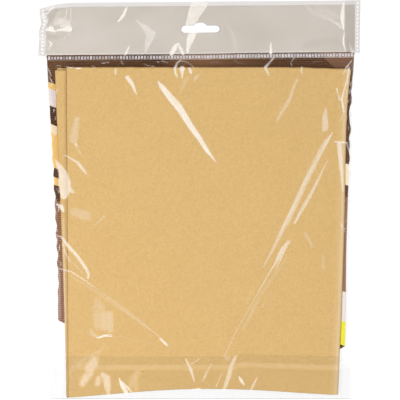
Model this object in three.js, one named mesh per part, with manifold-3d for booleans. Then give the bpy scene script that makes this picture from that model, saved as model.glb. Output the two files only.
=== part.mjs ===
// A suede cleaning cloth, folded in four, with a printed card in a clear hanging bag.
// Millimetres. The pack lies on its back: +X across, +Y towards the hanging header, +Z out of its front.

import * as THREE from 'three';
import { mergeVertices } from 'three/addons/utils/BufferGeometryUtils.js';
import Module from 'manifold-3d';

// Sheets. The real film is about 0.04 thick, and is drawn thicker here so that it is a solid.
const FILM = 0.3;
const CARD = 0.3;
const SUEDE = 0.9;
const GAP = 0.3; // between stacked or neighbouring pieces
const LEAF_GAP = 0.3; // between the leaves of the folded cloth

// Folded cloth. Its open edges are at the left and the top, its folds at the right and the bottom.
const FOLDED_TOP_WIDTH = 245.4;
const FOLDED_BOTTOM_WIDTH = 226.4;
const FOLDED_LENGTH = 271.6;
const STACK_OFFSET = 1.5; // the stack lies this far right of the bag's middle
const FOLD_LAP = 0.5; // how far a leaf stops short of its fold line, and how far the fold runs into it
const FOLD_SHORT = 1.3; // how far a fold stops short of its leaves' ends
const FOLD_THINNING = 0.05; // suede is drawn out on each face as it goes round a fold
const LEAVES = [
  // how far each leaf stops short of the widest one at the left, and of the longest one at the top
  { shortTop: 0.8, shortBottom: 0.4, drop: 2.0 },
  { shortTop: 0.0, shortBottom: 0.0, drop: 2.8 },
  { shortTop: 1.6, shortBottom: 0.3, drop: 0.4 },
  { shortTop: 9.5, shortBottom: 0.9, drop: 0.0 },
];

// Pouch
const SIDE_SEAL = 1.2; // width of the bead that joins front and back film
const SIDE_RAMP = 4.0; // width over which the front film comes down beside the cloth
const BOTTOM_SLACK = 4.5; // more room at each side of the bottom end
const BOTTOM_ROOM = 3.6; // between the cloth and the mouth
const TOP_RAMP = 5.2; // length over which the front film comes down above the cloth
const SEAM_WELD = 4.2; // length of the crimped seam under the header
const SEAM_EDGE = 0.5; // plain film above and below the crimps
const CRIMP_PITCH = 2.5;
const CRIMP_WIDTH = 1.5;
const CRIMP_HEIGHT = 0.2;

// Printed card
const CARD_PLAY = 0.6; // between the card and each side seal, at its top
const CARD_LENGTH = 250;
const CARD_LEFT_TAPER = 6.4; // how far each side draws away from the seal over the card's length
const CARD_RIGHT_TAPER = 3.6;
const LEFT_CORNER_CUT = [56, 29]; // width and height of the cut bottom corners
const RIGHT_CORNER_CUT = [13, 7.5];

// Header
const HEADER_HEIGHT = 44.2;
const HEADER_OVERHANG = 4.0; // past each side of the pouch
const HEADER_WELD = 4.8; // width of the dotted weld along each side
const DOT_PITCH = 3.2;
const DOT_DIAMETER = 1.3;
const DOT_HEIGHT = 0.15;
const CLEAR_BAND = 3.6; // clear film above the grey strip
const SLOT_DROP = 23.0; // from the header's top edge to the middle of the slot
const SLOT_WIDTH = 32.0;
const SLOT_HEIGHT = 6.0;
const BUMP_RADIUS = 6.9; // the rise in the slot's upper edge that centres it on a peg
const BUMP_RISE = 2.6;

// Closure flap
const FLAP_LENGTH = 35.0;
const ADHESIVE = 0.2;
const ADHESIVE_WIDTH = 8.0;
const ADHESIVE_INSET = 0.4; // from the flap's free edge and its ends

// Levels, from the surface that the pack lies on
const CARD_Z = FILM + GAP;
const RIM_Z = CARD_Z + CARD + GAP; // front film along the seals
const CLOTH_Z = RIM_Z;
const CLOTH_HEIGHT = LEAVES.length * SUEDE + (LEAVES.length - 1) * LEAF_GAP;
const FRONT_Z = CLOTH_Z + CLOTH_HEIGHT + GAP; // front film over the cloth
const ADHESIVE_Z = FRONT_Z + FILM + GAP;
const FLAP_Z = ADHESIVE_Z + ADHESIVE + GAP;

// Stations along the pack, with its middle at Y = 0
const TOP_RIM = SEAM_WELD + 2 * SEAM_EDGE;
const POUCH_LENGTH = BOTTOM_ROOM + FOLDED_LENGTH + GAP + TOP_RAMP + TOP_RIM;
const PACK_LENGTH = FILM + GAP + POUCH_LENGTH + GAP + HEADER_HEIGHT;
const GUSSET_Y = -PACK_LENGTH / 2;
const POUCH_BOTTOM = GUSSET_Y + FILM + GAP;
const POUCH_TOP = POUCH_BOTTOM + POUCH_LENGTH;
const CLOTH_BOTTOM = POUCH_BOTTOM + BOTTOM_ROOM;
const CLOTH_TOP = CLOTH_BOTTOM + FOLDED_LENGTH;
const HEADER_BOTTOM = POUCH_TOP + GAP;
const HEADER_TOP = HEADER_BOTTOM + HEADER_HEIGHT;

// Half widths
const SIDE_ROOM = SIDE_SEAL + GAP + SIDE_RAMP + GAP;
const POUCH_HALF_TOP = FOLDED_TOP_WIDTH / 2 + STACK_OFFSET + SIDE_ROOM;
const POUCH_HALF_BOTTOM = FOLDED_BOTTOM_WIDTH / 2 + STACK_OFFSET + SIDE_ROOM + BOTTOM_SLACK;
const HEADER_HALF = POUCH_HALF_TOP + HEADER_OVERHANG;
const HEADER_FILM_HALF = HEADER_HALF - HEADER_WELD - GAP;

const CURVE_SEGMENTS = 8;
const UP = new THREE.Vector3(0, 0, 1);

const wasm = await Module();
wasm.setup();

const pack = new THREE.Group();

const finishes = {
  film: { color: 0xf4f4f2, roughness: 0.12, metalness: 0, transparent: true, opacity: 0.3 },
  weld: { color: 0xe4e0de, roughness: 0.35, metalness: 0, transparent: true, opacity: 0.7 },
  strip: { color: 0xcfc7bc, roughness: 0.3, metalness: 0 },
  suede: { color: 0xdeb97a, roughness: 0.95, metalness: 0 },
  print: { color: 0x5f4134, roughness: 0.45, metalness: 0 },
  adhesive: { color: 0xd9cba8, roughness: 0.5, metalness: 0, transparent: true, opacity: 0.5 },
};

function addPiece(name, finish, geometry, x = 0, y = 0, z = 0) {
  const mesh = new THREE.Mesh(geometry, new THREE.MeshStandardMaterial(finishes[finish]));
  mesh.name = name;
  mesh.position.set(x, y, z);
  pack.add(mesh);
}

// Straight line through (y0, v0) and (y1, v1), read at y
function along(y, y0, v0, y1, v1) {
  return v0 + ((v1 - v0) * (y - y0)) / (y1 - y0);
}

function pouchHalf(y) {
  return along(y, POUCH_BOTTOM, POUCH_HALF_BOTTOM, POUCH_TOP, POUCH_HALF_TOP);
}

function outline(points) {
  return new THREE.Shape(points.map(([x, y]) => new THREE.Vector2(x, y)));
}

function plate(shape, thickness) {
  return new THREE.ExtrudeGeometry(shape, {
    depth: thickness,
    bevelEnabled: false,
    curveSegments: CURVE_SEGMENTS,
  });
}

function rectangle(left, bottom, right, top) {
  return outline([
    [left, bottom],
    [right, bottom],
    [right, top],
    [left, top],
  ]);
}

function pointsOnly(geometry) {
  const bare = new THREE.BufferGeometry();
  bare.setAttribute('position', geometry.attributes.position.clone());
  if (geometry.index) {
    bare.setIndex(geometry.index.clone());
  }
  return mergeVertices(bare);
}

function toSolid(geometry) {
  const merged = pointsOnly(geometry);
  const vertProperties = new Float32Array(merged.attributes.position.array);
  const triVerts = new Uint32Array(merged.index.array);
  return new wasm.Manifold(new wasm.Mesh({ numProp: 3, vertProperties, triVerts }));
}

function join(geometries) {
  const mesh = geometries
    .map(toSolid)
    .reduce((whole, piece) => whole.add(piece))
    .getMesh();
  const joined = new THREE.BufferGeometry();
  joined.setAttribute('position', new THREE.BufferAttribute(mesh.vertProperties, 3));
  joined.setIndex(new THREE.BufferAttribute(mesh.triVerts, 1));
  return joined;
}

// Closes an open sheet into a solid by lifting a copy of it and walling its edges
function thicken(sheet, thickness) {
  const { position } = sheet.attributes;
  const count = position.count;
  const vertices = [];
  for (const lift of [0, thickness]) {
    for (let i = 0; i < count; i += 1) {
      vertices.push(position.getX(i), position.getY(i), position.getZ(i) + lift);
    }
  }
  const triangles = [];
  const edges = new Map();
  for (let t = 0; t < sheet.index.count; t += 3) {
    const [a, b, c] = [0, 1, 2].map((k) => sheet.index.getX(t + k));
    triangles.push(c, b, a, a + count, b + count, c + count);
    for (const [from, to] of [[a, b], [b, c], [c, a]]) {
      edges.set(`${from} ${to}`, [from, to]);
    }
  }
  for (const [from, to] of edges.values()) {
    if (!edges.has(`${to} ${from}`)) {
      triangles.push(from, to, to + count, from, to + count, from + count);
    }
  }
  const solid = new THREE.BufferGeometry();
  solid.setAttribute('position', new THREE.Float32BufferAttribute(vertices, 3));
  solid.setIndex(triangles);
  return solid;
}

// Folded cloth

const OUTER_FOLD = CLOTH_HEIGHT / 2; // the front leaf goes round to the back one
const PAIR_FOLD = SUEDE + LEAF_GAP / 2; // neighbouring leaves
const FOLD_LINE_TOP = STACK_OFFSET + FOLDED_TOP_WIDTH / 2 - OUTER_FOLD;
const FOLD_LINE_BOTTOM = STACK_OFFSET + FOLDED_BOTTOM_WIDTH / 2 - OUTER_FOLD;
const HEM_Y = CLOTH_BOTTOM + PAIR_FOLD; // where the leaves turn at the bottom

function foldLine(y) {
  return along(y, CLOTH_BOTTOM, FOLD_LINE_BOTTOM, CLOTH_TOP, FOLD_LINE_TOP);
}

function leafLeft(leaf, y) {
  const widestTop = STACK_OFFSET - FOLDED_TOP_WIDTH / 2;
  const widestBottom = STACK_OFFSET - FOLDED_BOTTOM_WIDTH / 2;
  return along(
    y,
    CLOTH_BOTTOM,
    widestBottom + leaf.shortBottom,
    CLOTH_TOP,
    widestTop + leaf.shortTop,
  );
}

function leafZ(index) {
  return CLOTH_Z + index * (SUEDE + LEAF_GAP);
}

function leafSlab(leaf, index) {
  const top = CLOTH_TOP - leaf.drop;
  const bottom = HEM_Y + FOLD_LAP;
  const slab = plate(
    outline([
      [leafLeft(leaf, bottom), bottom],
      [foldLine(bottom) - FOLD_LAP, bottom],
      [foldLine(top) - FOLD_LAP, top],
      [leafLeft(leaf, top), top],
    ]),
    SUEDE,
  );
  return slab.translate(0, 0, leafZ(index));
}

// A half-round bend of cloth with short straight ends, run from one point to another.
// Its inside opens to the right of that run, seen from above.
function bend(radius, from, to, z) {
  const outer = radius - FOLD_THINNING;
  const inner = radius - SUEDE + FOLD_THINNING;
  const reach = -2 * FOLD_LAP;
  const section = new THREE.Shape();
  section.moveTo(reach, -outer);
  section.lineTo(0, -outer);
  section.absarc(0, 0, outer, -Math.PI / 2, Math.PI / 2, false);
  section.lineTo(reach, outer);
  section.lineTo(reach, inner);
  section.lineTo(0, inner);
  section.absarc(0, 0, inner, Math.PI / 2, -Math.PI / 2, true);
  section.lineTo(reach, -inner);
  const run = new THREE.Vector3().subVectors(to, from);
  const forward = run.clone().normalize();
  const outward = new THREE.Vector3().crossVectors(UP, forward);
  const tube = plate(section, run.length());
  tube.applyMatrix4(new THREE.Matrix4().makeBasis(outward, UP, forward));
  return tube.translate(from.x, from.y, z);
}

function sideBend(radius, leaves) {
  const top = CLOTH_TOP - Math.max(...leaves.map((leaf) => leaf.drop)) - FOLD_SHORT;
  const bottom = HEM_Y + FOLD_SHORT;
  const from = new THREE.Vector3(foldLine(top), top, 0);
  const to = new THREE.Vector3(foldLine(bottom), bottom, 0);
  return bend(radius, from, to, CLOTH_Z + CLOTH_HEIGHT / 2);
}

function hemBend(lower) {
  const pair = [LEAVES[lower], LEAVES[lower + 1]];
  const left = Math.max(...pair.map((leaf) => leafLeft(leaf, HEM_Y)));
  const from = new THREE.Vector3(foldLine(HEM_Y) - FOLD_SHORT, HEM_Y, 0);
  const to = new THREE.Vector3(left + FOLD_SHORT, HEM_Y, 0);
  return bend(PAIR_FOLD, from, to, leafZ(lower + 1) - LEAF_GAP / 2);
}

function suedeCloth() {
  const [back, innerBack, innerFront, front] = LEAVES;
  return join([
    ...LEAVES.map(leafSlab),
    sideBend(OUTER_FOLD, [back, front]),
    sideBend(PAIR_FOLD, [innerBack, innerFront]),
    hemBend(0),
    hemBend(2),
  ]);
}

addPiece('suede_cloth', 'suede', suedeCloth());

// Printed card

function insertCard() {
  const top = POUCH_TOP - GAP;
  const bottom = top - CARD_LENGTH;
  const [leftCut, leftRise] = LEFT_CORNER_CUT;
  const [rightCut, rightRise] = RIGHT_CORNER_CUT;
  const half = (y, taper) => pouchHalf(y) - SIDE_SEAL - CARD_PLAY - along(y, top, 0, bottom, taper);
  const left = (y) => -half(y, CARD_LEFT_TAPER);
  const right = (y) => half(y, CARD_RIGHT_TAPER);
  return plate(
    outline([
      [left(top), top],
      [left(bottom + leftRise), bottom + leftRise],
      [left(bottom) + leftCut, bottom],
      [right(bottom) - rightCut, bottom],
      [right(bottom + rightRise), bottom + rightRise],
      [right(top), top],
    ]),
    CARD,
  );
}

addPiece('insert_card', 'print', insertCard(), 0, 0, CARD_Z);

// Pouch

function filmEdge(y) {
  return pouchHalf(y) - SIDE_SEAL - GAP;
}

function backFilm() {
  return plate(
    outline([
      [-filmEdge(POUCH_BOTTOM), POUCH_BOTTOM],
      [filmEdge(POUCH_BOTTOM), POUCH_BOTTOM],
      [filmEdge(POUCH_TOP), POUCH_TOP],
      [-filmEdge(POUCH_TOP), POUCH_TOP],
    ]),
    FILM,
  );
}

// High over the cloth, down to the rim at both sides and under the header, open at the mouth
function frontFilm() {
  const rows = [POUCH_TOP, POUCH_TOP - TOP_RIM, POUCH_TOP - TOP_RIM - TOP_RAMP, POUCH_BOTTOM];
  const spans = 3;
  const sheet = pointsOnly(new THREE.PlaneGeometry(spans, spans, spans, spans));
  const { position } = sheet.attributes;
  for (let i = 0; i < position.count; i += 1) {
    const column = Math.round(position.getX(i) + spans / 2);
    const row = Math.round(spans / 2 - position.getY(i));
    const y = rows[row];
    const edge = filmEdge(y);
    const x = [-edge, SIDE_RAMP - edge, edge - SIDE_RAMP, edge][column];
    const raised = row >= 2 && column > 0 && column < spans;
    position.setXYZ(i, x, y, raised ? FRONT_Z : RIM_Z);
  }
  return thicken(sheet, FILM);
}

function sideSeal(side) {
  const points = [
    [side * pouchHalf(POUCH_BOTTOM), POUCH_BOTTOM],
    [side * pouchHalf(POUCH_TOP), POUCH_TOP],
    [side * (pouchHalf(POUCH_TOP) - SIDE_SEAL), POUCH_TOP],
    [side * (pouchHalf(POUCH_BOTTOM) - SIDE_SEAL), POUCH_BOTTOM],
  ];
  return plate(outline(points), RIM_Z + FILM);
}

// A strip with a row of crimps standing on it, drawn as seen from the mouth
function seamWeld() {
  const half = filmEdge(POUCH_TOP - TOP_RIM);
  const count = Math.floor((2 * half - CRIMP_WIDTH) / CRIMP_PITCH);
  const points = [
    [-half, 0],
    [half, 0],
    [half, FILM],
  ];
  for (let i = count; i >= 0; i -= 1) {
    const middle = (i - count / 2) * CRIMP_PITCH;
    points.push([middle + CRIMP_WIDTH / 2, FILM]);
    points.push([middle + CRIMP_WIDTH / 2, FILM + CRIMP_HEIGHT]);
    points.push([middle - CRIMP_WIDTH / 2, FILM + CRIMP_HEIGHT]);
    points.push([middle - CRIMP_WIDTH / 2, FILM]);
  }
  points.push([-half, FILM]);
  return plate(outline(points), SEAM_WELD).rotateX(Math.PI / 2);
}

addPiece('pouch_back_film', 'film', backFilm());
addPiece('pouch_front_film', 'film', frontFilm());
addPiece('pouch_left_seal', 'weld', sideSeal(-1));
addPiece('pouch_right_seal', 'weld', sideSeal(1));
addPiece('seam_weld', 'weld', seamWeld(), 0, POUCH_TOP - SEAM_EDGE, RIM_Z + FILM + GAP);

// Header

// Round-ended hanging slot with a rise in the middle of its upper edge
function hangSlot() {
  const half = SLOT_HEIGHT / 2;
  const reach = SLOT_WIDTH / 2 - half;
  const middle = HEADER_TOP - SLOT_DROP;
  const bumpY = middle + half + BUMP_RISE - BUMP_RADIUS;
  const bumpHalf = Math.sqrt(BUMP_RADIUS ** 2 - (BUMP_RADIUS - BUMP_RISE) ** 2);
  const bumpAngle = Math.asin((BUMP_RADIUS - BUMP_RISE) / BUMP_RADIUS);
  const slot = new THREE.Path();
  slot.moveTo(-reach, middle - half);
  slot.lineTo(reach, middle - half);
  slot.absarc(reach, middle, half, -Math.PI / 2, Math.PI / 2, false);
  slot.lineTo(bumpHalf, middle + half);
  slot.absarc(0, bumpY, BUMP_RADIUS, bumpAngle, Math.PI - bumpAngle, false);
  slot.lineTo(-reach, middle + half);
  slot.absarc(-reach, middle, half, Math.PI / 2, (3 * Math.PI) / 2, false);
  return slot;
}

function slottedPlate(top) {
  const shape = rectangle(-HEADER_FILM_HALF, HEADER_BOTTOM, HEADER_FILM_HALF, top);
  shape.holes.push(hangSlot());
  return plate(shape, FILM);
}

// The two films fused into one strip, with a row of round dots
function headerWeld(side) {
  const inner = HEADER_HALF - HEADER_WELD;
  const left = Math.min(side * inner, side * HEADER_HALF);
  const height = RIM_Z + FILM;
  const strip = plate(rectangle(left, HEADER_BOTTOM, left + HEADER_WELD, HEADER_TOP), height);
  const count = Math.floor((HEADER_HEIGHT - DOT_DIAMETER) / DOT_PITCH);
  const dots = [];
  for (let i = 0; i <= count; i += 1) {
    const dot = new THREE.CylinderGeometry(
      DOT_DIAMETER / 2,
      DOT_DIAMETER / 2,
      2 * DOT_HEIGHT,
      CURVE_SEGMENTS,
    );
    const y = (HEADER_BOTTOM + HEADER_TOP) / 2 + (i - count / 2) * DOT_PITCH;
    dots.push(dot.rotateX(Math.PI / 2).translate(left + HEADER_WELD / 2, y, height));
  }
  return join([strip, ...dots]);
}

addPiece('header_back_film', 'film', slottedPlate(HEADER_TOP));
addPiece('header_strip', 'strip', slottedPlate(HEADER_TOP - CLEAR_BAND), 0, 0, FILM + GAP);
addPiece('header_front_film', 'film', slottedPlate(HEADER_TOP), 0, 0, RIM_Z);
addPiece('header_left_weld', 'weld', headerWeld(-1));
addPiece('header_right_weld', 'weld', headerWeld(1));

// Closure flap: it goes up round the mouth as a gusset, then lies on the front with its adhesive under it

function flapGusset() {
  const shape = rectangle(-POUCH_HALF_BOTTOM, GUSSET_Y, POUCH_HALF_BOTTOM, GUSSET_Y + FILM);
  return plate(shape, FLAP_Z + FILM);
}

function closureFlap() {
  const edge = POUCH_BOTTOM + FLAP_LENGTH;
  return plate(rectangle(-POUCH_HALF_BOTTOM, POUCH_BOTTOM, POUCH_HALF_BOTTOM, edge), FILM);
}

function adhesiveStrip() {
  const top = POUCH_BOTTOM + FLAP_LENGTH - ADHESIVE_INSET;
  const half = POUCH_HALF_BOTTOM - ADHESIVE_INSET;
  return plate(rectangle(-half, top - ADHESIVE_WIDTH, half, top), ADHESIVE);
}

addPiece('flap_gusset', 'film', flapGusset());
addPiece('closure_flap', 'film', closureFlap(), 0, 0, FLAP_Z);
addPiece('adhesive_strip', 'adhesive', adhesiveStrip(), 0, 0, ADHESIVE_Z);

export default pack;
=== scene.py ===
import math

import bmesh
import bpy
import numpy as np
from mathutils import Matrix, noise


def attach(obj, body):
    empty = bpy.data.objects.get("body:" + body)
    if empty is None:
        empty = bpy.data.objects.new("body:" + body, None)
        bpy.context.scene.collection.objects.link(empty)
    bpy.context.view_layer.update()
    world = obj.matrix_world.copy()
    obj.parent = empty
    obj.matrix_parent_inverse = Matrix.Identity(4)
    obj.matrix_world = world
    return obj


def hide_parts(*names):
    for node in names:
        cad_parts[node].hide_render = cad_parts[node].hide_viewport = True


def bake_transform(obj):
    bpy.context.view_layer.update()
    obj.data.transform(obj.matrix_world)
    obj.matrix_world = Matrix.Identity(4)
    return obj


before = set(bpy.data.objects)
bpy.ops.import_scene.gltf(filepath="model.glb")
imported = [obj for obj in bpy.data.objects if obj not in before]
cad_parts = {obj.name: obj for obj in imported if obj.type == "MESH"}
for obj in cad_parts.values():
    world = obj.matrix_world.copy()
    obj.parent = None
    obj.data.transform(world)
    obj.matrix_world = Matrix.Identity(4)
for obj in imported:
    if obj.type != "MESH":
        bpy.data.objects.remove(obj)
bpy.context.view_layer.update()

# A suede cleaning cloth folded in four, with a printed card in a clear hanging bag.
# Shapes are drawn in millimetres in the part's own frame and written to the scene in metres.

MM = 0.001

# Sizes of the pack, from the part; film is thinner here, and levels are those of a sheet's middle

FILM_WALL = 0.12
POUCH_BOTTOM = -164.9
POUCH_TOP = 121.0
POUCH_HALF_BOTTOM = 125.0
POUCH_HALF_TOP = 130.0
SIDE_SEAL = 1.2
FILM_GAP = 0.3
SIDE_RAMP = 4.0
TOP_RIM = 5.2
TOP_RAMP = 5.2
RIM_Z = 1.35
FRONT_Z = 6.12
BACK_Z = 0.14

SUEDE = 0.9
LEAF_PITCH = 1.2
STACK_MIDDLE_Z = 3.45
STACK_OFFSET = 1.5
FOLDED_TOP_WIDTH = 245.4
FOLDED_BOTTOM_WIDTH = 226.4
CLOTH_TOP = 110.8
PAIR_FOLD = 1.05
OUTER_FOLD = 2.25
LEAVES = {
    # how far each leaf falls short: at the left, up at its top and down at its hem, and along its top
    "outer back": (0.8, 0.4, 2.0),
    "inner back": (1.8, 0.3, 0.7),
    "inner front": (0.0, 0.0, 2.6),
    "outer front": (9.5, 1.6, 0.0),
}

HEADER_BOTTOM = 121.3
HEADER_TOP = 165.5
HEADER_HALF = 134.0
HEADER_FILM_HALF = 129.0
CLEAR_BAND = 3.6
SLOT_Y = 142.5
SLOT_REACH = 13.0
SLOT_RADIUS = 3.0
BUMP_RADIUS = 6.9
BUMP_RISE = 2.6

GUSSET_Y = -165.4
FLAP_EDGE = -129.9
FLAP_Z = 7.25
FLAP_HALF = 125.0
ADHESIVE_TOP = -130.3
ADHESIVE_BOTTOM = -138.3

# Creases of the film: brightness of their painted highlight (negative where a facet is dull, for painted
# shade), softness of its border, and points of its line with half widths there

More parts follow.
